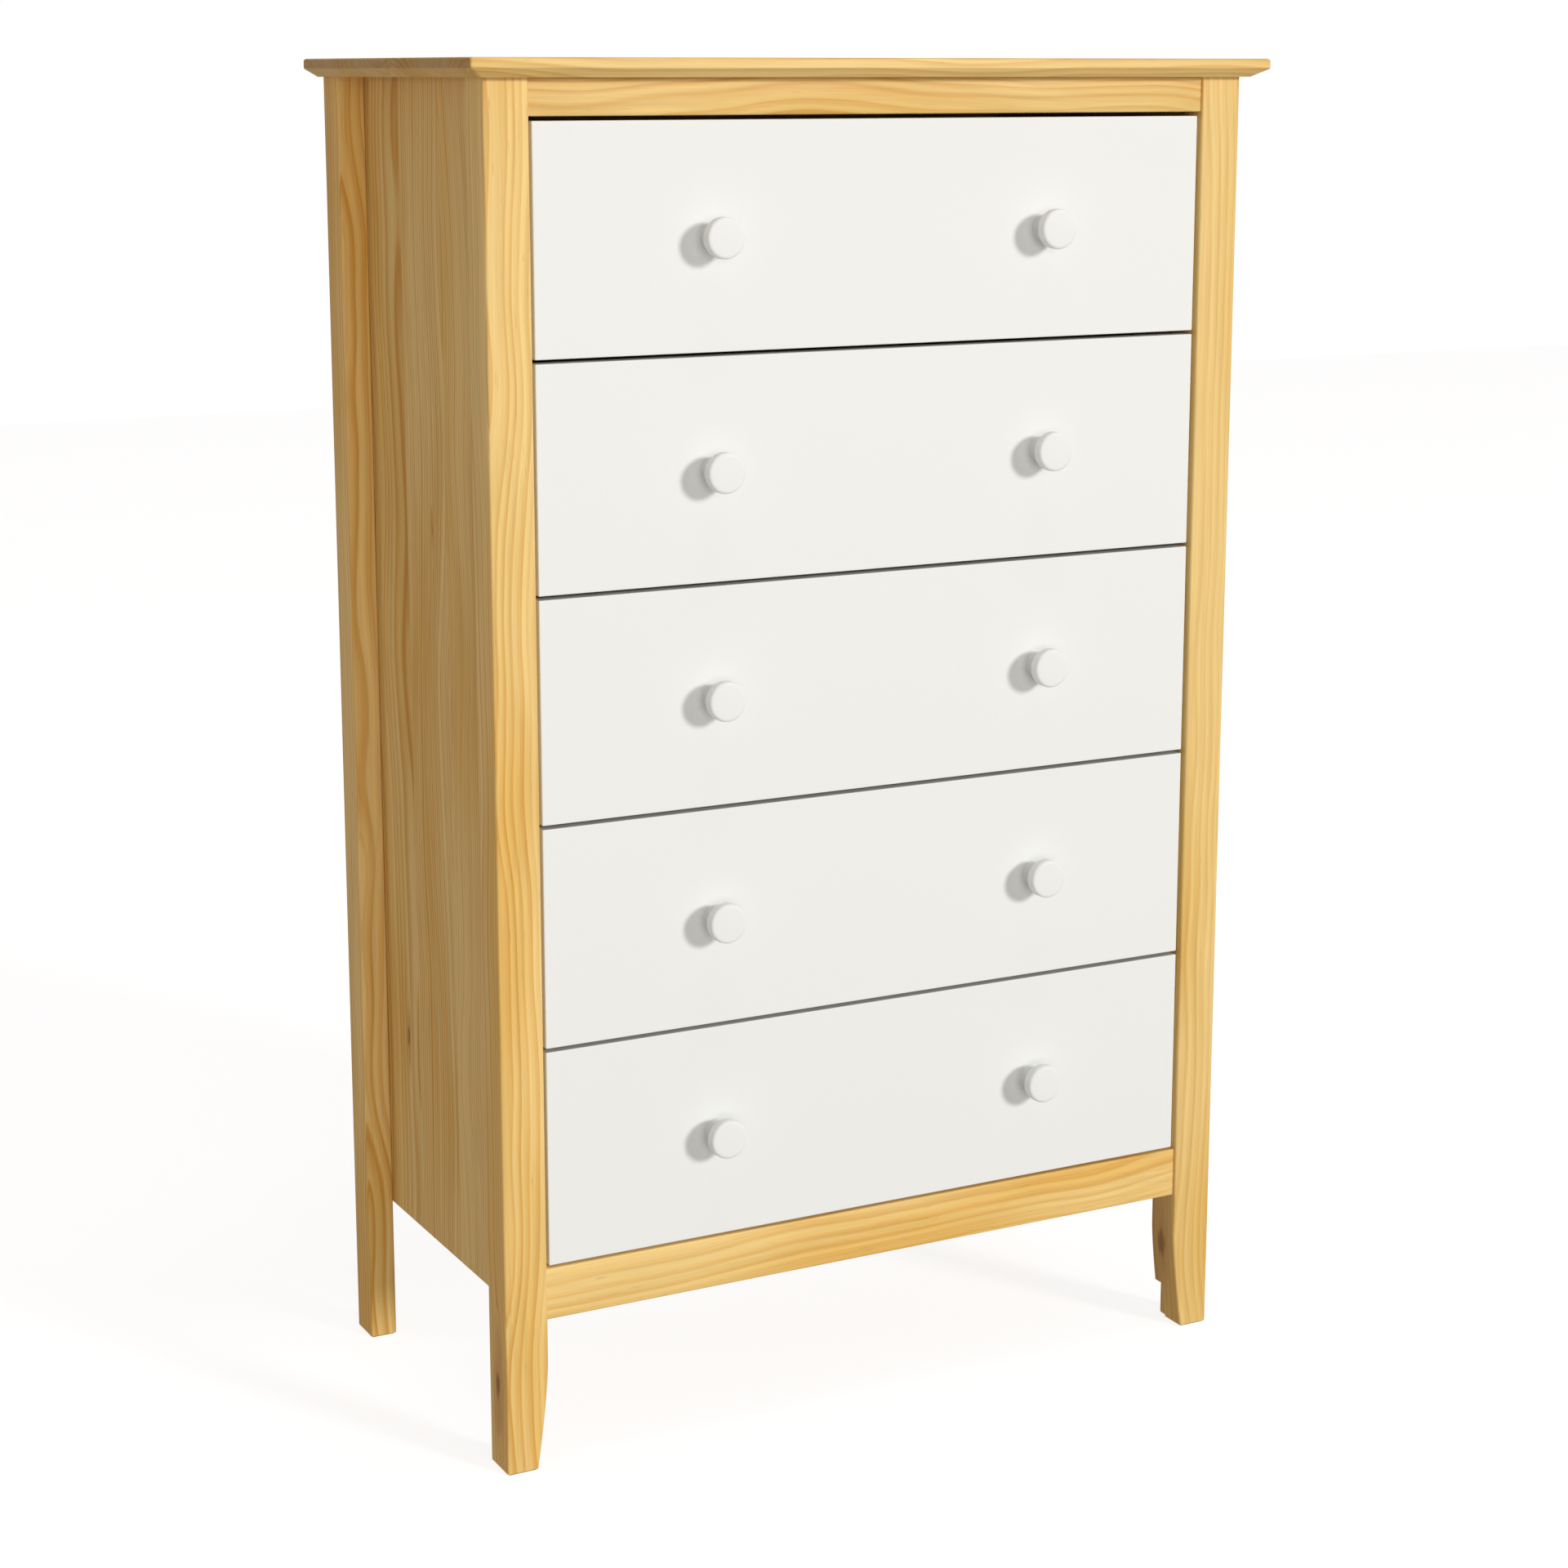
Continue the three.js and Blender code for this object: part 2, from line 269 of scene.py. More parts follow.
def makeGrain(name, look):
    # Growth rings round the heart of the tree, with the grain along the vector's Z
    tree, given = startGroup(name, [
        ("Vector", "NodeSocketVector", None),
        ("Ring Width", "NodeSocketFloat", 0.005),
        ("Wander", "NodeSocketFloat", 0.012),
        ("Contrast", "NodeSocketFloat", 0.75),
        ("Tone", "NodeSocketFloat", 0.5),
    ], [("Color", "NodeSocketColor"), ("Late", "NodeSocketFloat"), ("Fibre", "NodeSocketFloat")])
    place = given["Vector"]
    bent = place
    for stretch, share in growth["sways"]:  # a long wander and a short one
        sway = noiseAt(tree, place, stretch, detail=1.0).outputs["Color"]
        sway = vectorCalc(tree, "SUBTRACT", sway, (0.5, 0.5, 0.5))
        sway = vectorCalc(tree, "MULTIPLY", sway, (share, share, 0))
        bent = vectorCalc(tree, "ADD", bent, scaled(tree, sway, given["Wander"]))
    quick = noiseAt(tree, place, growth["quiver"], detail=2.0).outputs["Color"]
    quick = vectorCalc(tree, "SUBTRACT", quick, (0.5, 0.5, 0.5))
    width = growth["quiverWidth"]
    bent = vectorCalc(tree, "ADD", bent, vectorCalc(tree, "MULTIPLY", quick, (width, width, 0.0)))
    out = vectorCalc(tree, "LENGTH", vectorCalc(tree, "MULTIPLY", bent, (1, 1, 0)))
    uneven = noiseAlong(tree, out, growth["unevenPace"])
    rings = calc(tree, "DIVIDE", out, given["Ring Width"])
    rings = calc(tree, "ADD", rings, calc(tree, "MULTIPLY", uneven, growth["uneven"]))
    share = calc(tree, "FRACT", rings)
    rise = calc(tree, "POWER", remap(tree, share, *growth["rise"]), 1.5)
    fall = remap(tree, share, *growth["fall"], 1.0, 0.0, smooth=True)
    late = calc(tree, "MULTIPLY", rise, fall)
    each = addNode(tree, "ShaderNodeTexWhiteNoise", {
        "W": calc(tree, "FLOOR", rings)}, noise_dimensions="1D").outputs["Value"]
    late = calc(tree, "MULTIPLY", late, remap(tree, each, 0.0, 1.0, *growth["ringRange"]))
    thin = noiseAlong(tree, rings, growth["thinPace"], detail=1.5)
    thin = remap(tree, thin, 0.5, 0.8, 0.0, growth["thinDepth"])
    late = calc(tree, "ADD", late, thin, clamp=True)
    fibre = noiseAt(tree, place, growth["fibre"], detail=3.0, roughness=0.65).outputs[0]
    fade = noiseAt(tree, bent, growth["patches"], detail=2.0).outputs[0]
    strength = calc(tree, "MULTIPLY", late, given["Contrast"])
    strength = calc(tree, "MULTIPLY", strength, remap(tree, fade, 0.3, 0.7, 0.55, 1.2), clamp=True)
    warmth = remap(tree, fade, 0.42, 0.72, 0.0, 0.8, smooth=True)
    base = blendColours(tree, warmth, look["early"], look["warm"])
    colour = blendColours(tree, strength, base, look["late"])
    ducts = noiseAt(tree, place, growth["ducts"], detail=1.0).outputs[0]
    ducts = remap(tree, ducts, 0.70, 0.80, 1.0, growth["ductShade"], smooth=True)
    grey = calc(tree, "MULTIPLY", remap(tree, fibre, 0.25, 0.75, *growth["fibreShade"]), ducts)
    grey = calc(tree, "MULTIPLY", grey, remap(tree, given["Tone"], 0.0, 1.0, *growth["toneShade"]))
    streak = noiseAt(tree, bent, growth["streaks"], detail=2.0).outputs[0]
    grey = calc(tree, "MULTIPLY", grey, remap(tree, streak, 0.3, 0.7, *growth["streakShade"]))
    grey = outOf(tree, "ShaderNodeCombineXYZ", {0: grey, 1: grey, 2: grey})
    colour = vectorCalc(tree, "MULTIPLY", colour, grey)
    addNode(tree, "NodeGroupOutput", {"Color": colour, "Late": late, "Fibre": fibre})
    return tree


knotShape = {
    "ragged": (170.0, 170.0, 34.0),
    "raggedDepth": 2.2,
    "coreLength": 0.42,  # shares of the distance along the grain: the less, the longer the shape
    "haloLength": 0.20,
    "push": 1.5,  # how far the rings move aside, in shares of the radius
    "pushFade": -0.12,
    "core": (0.5, 1.5),
    "halo": (0.6, 3.2),
}


def makeKnot():
    # Pushes the rings aside round a knot, and says where its dark core and its stained halo are
    tree, given = startGroup("pineKnot", [
        ("Vector", "NodeSocketVector", None),
        ("Centre", "NodeSocketVector", None),
        ("Radius", "NodeSocketFloat", 0.006),
    ], [("Vector", "NodeSocketVector"), ("Core", "NodeSocketFloat"), ("Halo", "NodeSocketFloat")])
    away = vectorCalc(tree, "SUBTRACT", given["Vector"], given["Centre"])
    ragged = noiseAt(tree, given["Vector"], knotShape["ragged"], detail=2.0).outputs[0]
    ragged = calc(tree, "MULTIPLY", calc(tree, "SUBTRACT", ragged, 0.5), knotShape["raggedDepth"])
    near = vectorCalc(tree, "MULTIPLY", away, (1.0, 1.0, knotShape["coreLength"]))
    near = calc(tree, "DIVIDE", vectorCalc(tree, "LENGTH", near), given["Radius"])
    wide = vectorCalc(tree, "MULTIPLY", away, (1.0, 1.0, knotShape["haloLength"]))
    wide = calc(tree, "DIVIDE", vectorCalc(tree, "LENGTH", wide), given["Radius"])
    swell = calc(tree, "MULTIPLY", calc(tree, "MULTIPLY", wide, wide), knotShape["pushFade"])
    swell = calc(tree, "EXPONENT", swell)
    push = vectorCalc(tree, "NORMALIZE", vectorCalc(tree, "MULTIPLY", away, (1, 1, 0)))
    amount = calc(tree, "MULTIPLY", calc(tree, "MULTIPLY", swell, given["Radius"]), knotShape["push"])
    moved = vectorCalc(tree, "SUBTRACT", given["Vector"], scaled(tree, push, amount))
    core = remap(tree, calc(tree, "ADD", near, ragged), *knotShape["core"], 1.0, 0.0, smooth=True)
    halo = remap(tree, calc(tree, "ADD", wide, ragged), *knotShape["halo"], 1.0, 0.0, smooth=True)
    addNode(tree, "NodeGroupOutput", {"Vector": moved, "Core": core, "Halo": halo})
    return tree


clearGrain = makeGrain("clearPineGrain", pineLook)
rawGrain = makeGrain("rawPineGrain", rawPineLook)
pineKnot = makeKnot()
grainTurns = {"X": (0, math.radians(-90), 0), "Y": (math.radians(90), 0, 0), "Z": (0, 0, 0)}
grainAxes = {"X": (1, 0, 0), "Y": (0, 1, 0), "Z": (0, 0, 1)}


def pineFinish(name, grain="Z", heart=(0.03, 0.06, 0.0), ringWidth=0.005, wander=0.03, contrast=0.75,
               tone=0.5, knots=(), look=pineLook, rings=clearGrain):
    # heart: what is added to a place, across, across and along the grain, to count from the tree's heart.
    # A glued-up board's staves add to it through the staveHeart and staveLook attributes.
    material = bpy.data.materials.new(name)
    material.use_nodes = True
    tree = material.node_tree
    coords = addNode(tree, "ShaderNodeTexCoord")
    turn = grainTurns[grain]
    turned = outOf(tree, "ShaderNodeMapping", {"Vector": coords.outputs["Object"], "Rotation": turn})
    cores = []
    for centre, radius, darkness in knots:
        knot = addNode(tree, "ShaderNodeGroup", node_tree=pineKnot)
        seat = outOf(tree, "ShaderNodeMapping", {"Vector": centre, "Rotation": turn})
        tree.links.new(turned, knot.inputs["Vector"])
        tree.links.new(seat, knot.inputs["Centre"])
        knot.inputs["Radius"].default_value = radius
        turned = knot.outputs["Vector"]
        cores.append((knot.outputs["Core"], knot.outputs["Halo"], darkness))
    shift = addNode(tree, "ShaderNodeAttribute", attribute_name="staveHeart").outputs["Vector"]
    facts = addNode(tree, "ShaderNodeAttribute", attribute_name="staveLook").outputs["Vector"]
    facts = addNode(tree, "ShaderNodeSeparateXYZ", {0: facts}).outputs
    place = vectorCalc(tree, "ADD", vectorCalc(tree, "ADD", turned, shift), heart)
    wood = addNode(tree, "ShaderNodeGroup", node_tree=rings)
    tree.links.new(place, wood.inputs["Vector"])
    tree.links.new(calc(tree, "ADD", facts[0], ringWidth), wood.inputs["Ring Width"])
    tree.links.new(calc(tree, "ADD", facts[1], contrast), wood.inputs["Contrast"])
    tree.links.new(calc(tree, "ADD", facts[2], tone), wood.inputs["Tone"])
    wood.inputs["Wander"].default_value = wander
    colour = wood.outputs["Color"]
    for core, halo, darkness in cores:
        colour = blendColours(tree, calc(tree, "MULTIPLY", halo, darkness * 0.8), colour, look["halo"])
        colour = blendColours(tree, calc(tree, "MULTIPLY", core, darkness), colour, look["knot"])
    along = vectorCalc(tree, "DOT_PRODUCT", coords.outputs["Normal"], grainAxes[grain])
    endGrain = remap(tree, calc(tree, "ABSOLUTE", along), 0.6, 0.9, smooth=True)
    shaded = blendColours(tree, 1.0, colour, look["endShade"], "MULTIPLY")
    colour = blendColours(tree, endGrain, colour, shaded)
    shader = tree.nodes["Principled BSDF"]
    tree.links.new(colour, shader.inputs["Base Color"])
    wear = noiseAt(tree, coords.outputs["Object"], look["wearPace"], detail=3.0).outputs[0]
    rough = remap(tree, wear, 0.3, 0.7, *look["roughness"])
    rough = calc(tree, "ADD", rough, calc(tree, "MULTIPLY", wood.outputs["Late"], look["lateRoughness"]))
    rough = calc(tree, "ADD", rough, calc(tree, "MULTIPLY", endGrain, look["endRoughness"]))
    tree.links.new(rough, shader.inputs["Roughness"])
    height = calc(tree, "ADD", calc(tree, "MULTIPLY", wood.outputs["Late"], 0.35),
                  calc(tree, "MULTIPLY", wood.outputs["Fibre"], 0.65))
    bump = outOf(tree, "ShaderNodeBump", {"Height": height, "Distance": look["bump"], "Strength": 0.6})
    tree.links.new(bump, shader.inputs["Normal"])
    shader.inputs["Specular IOR Level"].default_value = look["specular"]
    shader.inputs["Coat Weight"].default_value = look["coat"]
    shader.inputs["Coat Roughness"].default_value = look["coatRoughness"]
    return material


paintLook = {
    "colour": (0.840, 0.858, 0.830, 1),
    "shade": (0.832, 0.846, 0.816, 1),
    "edge": (0.60, 0.585, 0.545, 1),  # the upper and lower edges, darker: painted shade for the gaps between the fronts
    "roughness": (0.44, 0.54),
    "specular": 0.1,
    "tonePace": (4.0, 4.0, 4.0),
    "peelPace": (420.0, 420.0, 420.0),
    "bump": 0.00006,
}


def startFinish(name):
    material = bpy.data.materials.new(name)
    material.use_nodes = True
    tree = material.node_tree
    return material, tree, addNode(tree, "ShaderNodeTexCoord").outputs


def upwards(tree, normal):
    # 1 on level faces, 0 on upright ones
    return calc(tree, "ABSOLUTE", addNode(tree, "ShaderNodeSeparateXYZ", {0: normal}).outputs["Z"])


def closeFinish(tree, look, colour, wear, height, strength=0.5):
    # Wires the colour, the roughness and the bump to the shader
    shader = tree.nodes["Principled BSDF"]
    tree.links.new(colour, shader.inputs["Base Color"])
    tree.links.new(remap(tree, wear, 0.3, 0.7, *look["roughness"]), shader.inputs["Roughness"])
    bump = outOf(tree, "ShaderNodeBump", {"Height": height, "Distance": look["bump"], "Strength": strength})
    tree.links.new(bump, shader.inputs["Normal"])
    return shader


def paintFinish(name, edged=False):
    # Sprayed satin white, with a faint peel and a slow change of tone, and optionally painted shade on the
    # upper and lower edges
    material, tree, coords = startFinish(name)
    place = coords["Object"]
    slow = noiseAt(tree, place, paintLook["tonePace"], detail=2.0).outputs[0]
    peel = noiseAt(tree, place, paintLook["peelPace"], detail=2.0).outputs[0]
    colour = blendColours(tree, slow, paintLook["colour"], paintLook["shade"])
    if edged:
        # painted shade: the level upper and lower edges of a front are darkened, standing in for the shade
        # in the gaps between the fronts
        level = remap(tree, upwards(tree, coords["Normal"]), 0.7, 0.95)
        colour = blendColours(tree, level, colour, paintLook["edge"])
    shader = closeFinish(tree, paintLook, colour, slow, peel)
    shader.inputs["Specular IOR Level"].default_value = paintLook["specular"]
    return material


beechLook = {
    "pale": (0.66, 0.44, 0.25, 1),
    "deep": (0.52, 0.31, 0.16, 1),
    "fleck": (0.36, 0.19, 0.09, 1),  # the short dark rays
    "roughness": (0.46, 0.60),
    "grainPace": (260.0, 9.0, 260.0),
    "fleckPace": (900.0, 240.0, 420.0),
    "bump": 0.0001,
}


def beechFinish(name):
    # Close, even wood along Y, with short dark flecks
    material, tree, coords = startFinish(name)
    place = coords["Object"]
    grain = noiseAt(tree, place, beechLook["grainPace"], detail=3.0, roughness=0.6).outputs[0]
    flecks = noiseAt(tree, place, beechLook["fleckPace"], detail=0.0).outputs[0]
    flecks = remap(tree, flecks, 0.66, 0.74, 0.0, 0.7, smooth=True)
    colour = blendColours(tree, remap(tree, grain, 0.3, 0.7), beechLook["pale"], beechLook["deep"])
    closeFinish(tree, beechLook, blendColours(tree, flecks, colour, beechLook["fleck"]), grain, grain)
    return material


plyLook = {
    "pale": (0.70, 0.54, 0.34, 1),
    "deep": (0.60, 0.43, 0.24, 1),
    "core": (0.42, 0.27, 0.14, 1),  # the cross plies, seen on an edge
    "plies": 3,
    "thickness": 0.004,
    "roughness": (0.58, 0.72),
    "bendPace": (1.4, 5.0, 5.0),
    "bendWidth": 0.16,
    "figurePace": (1.2, 60.0, 1.0),
    "fibrePace": (14.0, 640.0, 640.0),
    "bump": 0.00012,
}


def plyFinish(name):
    # A rotary-cut face with wide soft figure along X, and the plies on its edges
    material, tree, coords = startFinish(name)
    place = coords["Object"]
    bend = noiseAt(tree, place, plyLook["bendPace"], detail=2.0).outputs["Color"]
    bend = vectorCalc(tree, "SUBTRACT", bend, (0.5, 0.5, 0.5))
    bend = vectorCalc(tree, "MULTIPLY", bend, (0.0, plyLook["bendWidth"], 0.0))
    flow = vectorCalc(tree, "ADD", place, bend)
    figure = noiseAt(tree, flow, plyLook["figurePace"], detail=2.0).outputs[0]
    fibre = noiseAt(tree, place, plyLook["fibrePace"], detail=2.0).outputs[0]
    share = calc(tree, "ADD", calc(tree, "MULTIPLY", figure, 0.75), calc(tree, "MULTIPLY", fibre, 0.35))
    colour = blendColours(tree, remap(tree, share, 0.35, 0.75), plyLook["pale"], plyLook["deep"])
    pairs = plyLook["plies"] / plyLook["thickness"] / 2  # pale and dark plies to the metre
    rise = addNode(tree, "ShaderNodeSeparateXYZ", {0: place}).outputs["Z"]
    layer = remap(tree, calc(tree, "FRACT", calc(tree, "MULTIPLY", rise, pairs)), 0.45, 0.55)
    level = upwards(tree, coords["Normal"])
    edge = calc(tree, "MULTIPLY", remap(tree, level, 0.3, 0.6, 1.0, 0.0), layer)
    closeFinish(tree, plyLook, blendColours(tree, edge, colour, plyLook["core"]), fibre, fibre)
    return material


boardLook = {
    "pale": (0.43, 0.272, 0.145, 1),
    "deep": (0.325, 0.193, 0.096, 1),
    "shred": (0.55, 0.38, 0.22, 1),  # loose pale fibres
    "roughness": (0.50, 0.68),
    "mottlePace": (26.0, 26.0, 26.0),
    "cloudPace": (3.0, 3.0, 3.0),
    "shredPace": (230.0, 230.0, 70.0),
    "gritPace": (700.0, 700.0, 700.0),
    "bump": 0.00016,
}


def hardboardFinish(name):
    # Pressed brown fibre, mottled, with pale shreds
    material, tree, coords = startFinish(name)
    place = coords["Object"]
    mottle = noiseAt(tree, place, boardLook["mottlePace"], detail=5.0, roughness=0.62).outputs[0]
    cloud = noiseAt(tree, place, boardLook["cloudPace"], detail=2.0).outputs[0]
    share = calc(tree, "ADD", calc(tree, "MULTIPLY", mottle, 0.6), calc(tree, "MULTIPLY", cloud, 0.4))
    colour = blendColours(tree, remap(tree, share, 0.35, 0.65), boardLook["pale"], boardLook["deep"])
    cells = vectorCalc(tree, "MULTIPLY", place, boardLook["shredPace"])
    shreds = outOf(tree, "ShaderNodeTexVoronoi", {"Vector": cells, "Scale": 1.0}, feature="F1")
    shreds = remap(tree, shreds, 0.10, 0.24, 0.55, 0.0, smooth=True)
    grit = noiseAt(tree, place, boardLook["gritPace"], detail=2.0).outputs[0]
    closeFinish(tree, boardLook, blendColours(tree, shreds, colour, boardLook["shred"]), mottle, grit)
    return material


zincLook = {
    "pale": (0.62, 0.60, 0.55, 1),
    "deep": (0.44, 0.42, 0.37, 1),
    "roughness": (0.28, 0.46),
    "blotchPace": (520.0, 520.0, 520.0),
    "bump": 0.00005,
}


def zincFinish(name):
    # Plated steel for the screws and nails, a little uneven
    material, tree, coords = startFinish(name)
    blotch = noiseAt(tree, coords["Object"], zincLook["blotchPace"], detail=3.0).outputs[0]
    colour = blendColours(tree, blotch, zincLook["pale"], zincLook["deep"])
    shader = closeFinish(tree, zincLook, colour, blotch, blotch, strength=0.4)
    shader.inputs["Metallic"].default_value = 1.0
    return material


whitePaint = paintFinish("satinWhitePaint")
# the drawer fronts get painted shade on their upper and lower edges, for the gaps between them
frontPaint = paintFinish("drawerFrontPaint", edged=True)
runnerBeech = beechFinish("runnerBeech")
drawerPly = plyFinish("drawerBottomPly")
backHardboard = hardboardFinish("backHardboard")
platedSteel = zincFinish("platedSteel")
print("finishes made")


def roundedSection(x, y, radius, steps=5):
    # The points of a rectangle with round corners, anticlockwise from its right rear corner
    points = []
    corners = ((x[1] - radius, y[1] - radius, 0), (x[0] + radius, y[1] - radius, 90),
               (x[0] + radius, y[0] + radius, 180), (x[1] - radius, y[0] + radius, 270))
    for centreX, centreY, start in corners:
        for step in range(steps + 1):
            angle = math.radians(start + 90 * step / steps)
            points.append((centreX + radius * math.cos(angle), centreY + radius * math.sin(angle)))
    return points


def loftRings(mesh, rings):
    # Closes a skin over rings of points, each with as many points as the next
    rows = [[mesh.verts.new(point) for point in ring] for ring in rings]
    count = len(rows[0])
    for low, high in zip(rows, rows[1:]):
        for i in range(count):
            j = (i + 1) % count
            mesh.faces.new((low[i], low[j], high[j], high[i]))
    mesh.faces.new(list(reversed(rows[0])))
    mesh.faces.new(rows[-1])


def finishPiece(name, mesh, material, body, replaced=(), angle=34):
    bmesh.ops.remove_doubles(mesh, verts=mesh.verts, dist=1e-6)
    bmesh.ops.recalc_face_normals(mesh, faces=mesh.faces)
    data = bpy.data.meshes.new(name)
    mesh.to_mesh(data)
    mesh.free()
    data.materials.append(material)
    data.polygons.foreach_set("use_smooth", [True] * len(data.polygons))
    data.set_sharp_from_angle(angle=math.radians(angle))
    piece = bpy.data.objects.new(name, data)
    scene.collection.objects.link(piece)
    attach(piece, body)
    if replaced:
        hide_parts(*replaced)
    return piece


def dressNode(node, material):
    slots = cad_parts[node].data.materials
    slots.clear()
    slots.append(material)


def easedLevels(thick, radius, steps=4):
    # (height, inset) pairs that round the last edge of a board as thick as this
    quarter = [math.radians(90 * i / steps) for i in range(steps + 1)]
    return [(thick - radius + radius * math.sin(a), radius * (1 - math.cos(a))) for a in quarter]


def cutStaves(mesh, joints, staves):
    # Cuts a board along its glue joints across Y, and gives each stave its own piece of the tree:
    # (heart's shift across, across and along), (more ring width, contrast, tone)
    for joint in joints:
        parts = list(mesh.verts) + list(mesh.edges) + list(mesh.faces)
        bmesh.ops.bisect_plane(mesh, geom=parts, plane_co=(0, joint, 0), plane_no=(0, 1, 0))
    hearts = mesh.faces.layers.float_vector.new("staveHeart")
    looks = mesh.faces.layers.float_vector.new("staveLook")
    for face in mesh.faces:
        where = face.calc_center_median().y
        heart, look = staves[sum(where > joint for joint in joints)]
        face[hearts] = heart
        face[looks] = look


topBoard = {
    "bevelRise": 0.007,
    "bevelRun": 0.0115,
    "lowerEase": 0.0006,
    "bevelEnd": ((-0.0004, 0.0007), (0.0005, 0.0)),  # (above the bevel's rise, inset), softens its end
    "edgeRadius": 0.0022,
    "cornerRadius": 0.0025,
    "heart": (1.135, 0.182, 0.3),
    "joints": (-0.112, -0.021, 0.078),  # across the depth
    "staves": (
        ((0.0, 0.0, 0.0), (0.0, 0.0, 0.0)),
        ((-0.02, -0.166, 1.3), (-0.0006, 0.1, 0.1)),
        ((0.09, -0.19, 2.9), (0.0008, -0.1, -0.12)),
        ((-0.03, -0.379, 4.1), (0.0, 0.05, 0.06)),
    ),
}


def makeTop():
    low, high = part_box("top_panel")
    thick = high.z - low.z
    run, rise, ease = topBoard["bevelRun"], topBoard["bevelRise"], topBoard["lowerEase"]
    levels = [(0.0, run + ease, 0.0), (ease, run, 0.0)]  # (height, inset, rear inset)
    levels += [(rise + above, inset, 0.0) for above, inset in topBoard["bevelEnd"]]
    levels += [(height, inset, inset) for height, inset in easedLevels(thick, topBoard["edgeRadius"])]
    mesh = bmesh.new()
    rings = []
    for height, inset, rearInset in levels:
        width, depth = (low.x + inset, high.x - inset), (low.y + inset, high.y - rearInset)
        section = roundedSection(width, depth, topBoard["cornerRadius"])
        rings.append([(x, y, low.z + height) for x, y in section])
    loftRings(mesh, rings)
    cutStaves(mesh, topBoard["joints"], topBoard["staves"])
    material = pineFinish(
        "topBoardPine", "X", heart=topBoard["heart"], ringWidth=0.0056, wander=0.03, contrast=0.6, tone=0.4)
    return finishPiece("topBoard", mesh, material, "case", ["top_panel"])


legs = {
    "radius": 0.002,
    "chamfer": 0.0015,
    "width": 0.039,
    "footWidth": 0.0285,
    "taperHeight": 0.095,
    "taperCurve": 1.4,
    "taperSteps": 14,
    "notchWall": 0.026,
    "notchDepth": 0.012,
    "notchHeight": 0.036,
    "cornerSteps": 5,
}


def notchedSection(section, side, x, y):
    # Steps the inner rear corner of a foot's section: x is the notch's wall, y where it starts
    steps = legs["cornerSteps"] + 1
    corner = 0 if side < 0 else 1  # the left leg's inner rear corner is its right rear one
    rear = max(point[1] for point in section)
    across = [point[0] for point in section]
    inner = max(across) if side < 0 else min(across)
    path = [(inner, y), (x, y), (x, y), (x, rear), (x, rear), (x, rear)]
    stops = [path[min(i, len(path) - 1)] for i in range(steps)]
    if side > 0:
        stops.reverse()
    return section[:corner * steps] + stops + section[(corner + 1) * steps:]


def camelName(name):
    words = name.split("_")
    return words[0] + "".join(word.capitalize() for word in words[1:])


def makeLeg(name, side, taper, material):
    low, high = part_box(name)
    radius, chamfer, roof = legs["radius"], legs["chamfer"], legs["notchHeight"]
    heights = [0.0, chamfer]
    if taper:
        heights += [roof, roof]
        steps = legs["taperSteps"]
        span = legs["taperHeight"] - roof
        heights += [roof + span * (i + 1) / steps for i in range(steps)]
    heights.append(high.z)
    outer = low.x if side < 0 else high.x
    rings = []
    for i, height in enumerate(heights):
        inset = chamfer if i == 0 else 0.0
        draw = 0.0
        if taper and height < legs["taperHeight"]:
            share = (legs["taperHeight"] - height) / legs["taperHeight"]
            draw = taper * share ** legs["taperCurve"]
        x = [low.x + inset, high.x - inset]
        x[1 if side < 0 else 0] += side * draw
        section = roundedSection(x, (low.y + inset, high.y - inset), radius, legs["cornerSteps"])
        if taper and i <= heights.index(roof):
            wall = outer - side * (legs["notchWall"] - inset)
            section = notchedSection(section, side, wall, high.y - legs["notchDepth"])
        rings.append([(px, py, height) for px, py in section])
    mesh = bmesh.new()
    loftRings(mesh, rings)
    return finishPiece(camelName(name), mesh, material, "case", [name], angle=40)


rails = {"radius": 0.0016}


def makeFrontRail(node, name, material):
    low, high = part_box(node)
    rings = []
    for height, inset in [(0.0, 0.0)] + easedLevels(high.y - low.y, rails["radius"]):
        floor, top = low.z + inset, high.z - inset
        section = [(low.x, floor), (high.x, floor), (high.x, top), (low.x, top)]
        rings.append([(x, high.y - height, z) for x, z in section])
    mesh = bmesh.new()
    loftRings(mesh, rings)
    return finishPiece(name, mesh, material, "case", [node])


sidePanels = {
    "joints": (-0.012, 0.080),  # along the depth
    # the front stave and the middle one are quarter sawn, the rear one shows tongues
    "staves": (
        ((0.0, 0.05, 0.0), (-0.0008, 0.0, 0.12)),
        ((0.05, -0.04, 1.7), (0.0, 0.3, -0.05)),
        ((0.02, -0.29, 3.2), (0.003, 0.0, -0.25)),
    ),
    "ease": 0.0012,  # round the lower edges
}


def makeSidePanel(word, material):
    node = "side_panel_" + word
    low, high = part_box(node)
    ease = sidePanels["ease"]
    mesh = bmesh.new()
    rings = []
    for height, inset in [(0.0, ease), (ease, 0.0), (high.z - low.z, 0.0)]:
        left, right = low.x + inset, high.x - inset
        section = ((left, low.y), (right, low.y), (right, high.y), (left, high.y))
        rings.append([(x, y, low.z + height) for x, y in section])
    loftRings(mesh, rings)
    cutStaves(mesh, sidePanels["joints"], sidePanels["staves"])
    return finishPiece(camelName(node), mesh, material, "case", [node])


backPanel = {
    "inset": 0.0006,  # the nail heads stand in this
    "ease": 0.0008,
    "nailEdge": 0.007,  # from the panel's edge to the nails
    "nailSpacing": 0.082,
    "nailRadius": 0.0032,
    "nailHeight": 0.0005,
    "nailTaper": 0.72,  # a head's face as a share of its foot
    "nailSides": 14,
    "nailStray": 0.0012,  # how far a nail misses its line
    "nailSeed": 11,
}


